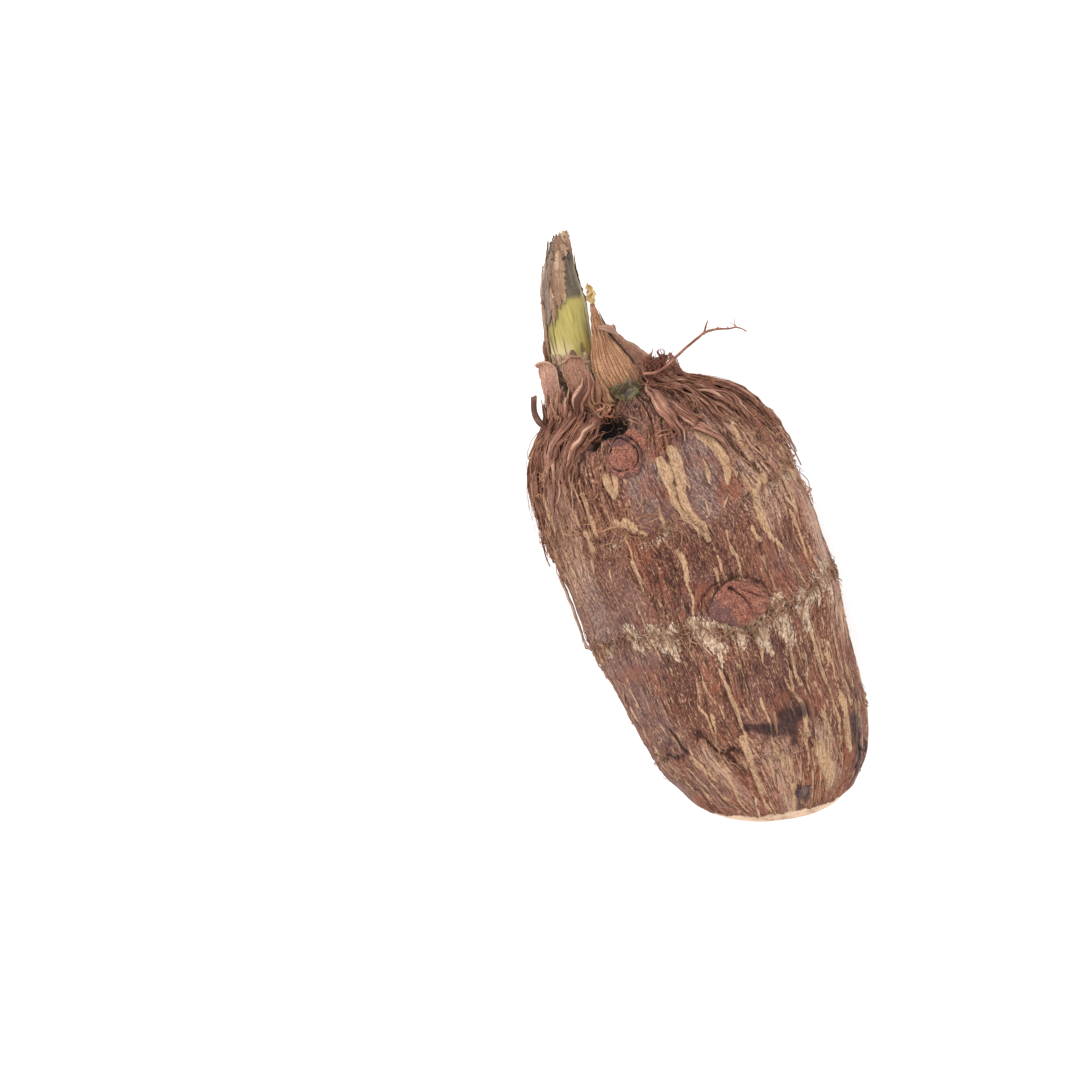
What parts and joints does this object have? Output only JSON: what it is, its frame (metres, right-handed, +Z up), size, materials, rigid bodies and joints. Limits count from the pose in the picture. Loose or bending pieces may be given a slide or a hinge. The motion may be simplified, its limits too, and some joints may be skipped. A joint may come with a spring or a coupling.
{
  "type": "taro root",
  "caption": "Taro root corm with brown, ringed, fibrous skin, side buds, a collar of torn dry leaf bases and a cut-back green leaf stalk; rests on its flatter underside.",
  "frame": {"origin": "in the middle of the flat patch on the underside that the corm rests on", "axes": "+Y from the cut base towards the crown and leaf stalk, +Z up, away from the resting patch, +X to the right of the crown seen from above"},
  "size_m": [0.0665, 0.1582, 0.0584],
  "materials": {
    "skin": "dry, rough, fibrous",
    "stalk": "fresh, satin, drying at the tip",
    "scale": "dry, papery, ribbed",
    "green": "matt, mossy",
    "bud": "dry, scaly",
    "bud_scale": "dry, papery",
    "husk": "dry, fibrous",
    "root": "dry, fibrous",
    "remnant": "dry, papery"
  },
  "bodies": {
    "root": {"corm": "skin", "leaf_stalk": "stalk", "striped_scale": "scale", "outer_scale": "scale", "front_scale": "scale", "left_scale": "scale", "back_scale": "scale", "side_scale": "scale", "green_scale": "green", "scale_remnant": "remnant", "upper_bud": "bud", "upper_bud_scale": "bud_scale", "middle_bud": "bud", "middle_bud_scale": "bud_scale", "left_bud": "bud", "left_bud_scale": "bud_scale", "right_bud": "bud", "right_bud_scale": "bud_scale", "husk_strap_01": "husk", "husk_strap_02": "husk", "husk_strap_03": "husk", "husk_strap_04": "husk", "husk_strap_05": "husk", "husk_strap_06": "husk", "husk_strap_07": "husk", "husk_strap_08": "husk", "husk_strap_09": "husk", "husk_strap_10": "husk", "husk_strap_11": "husk", "husk_strap_12": "husk", "husk_strap_13": "husk", "husk_strap_14": "husk", "husk_strap_15": "husk", "husk_strap_16": "husk", "torn_stub": "husk", "long_rootlet": "root", "edge_rootlet": "root", "root_tuft": "root", "root_curl": "root"}
  },
  "joints": []
}
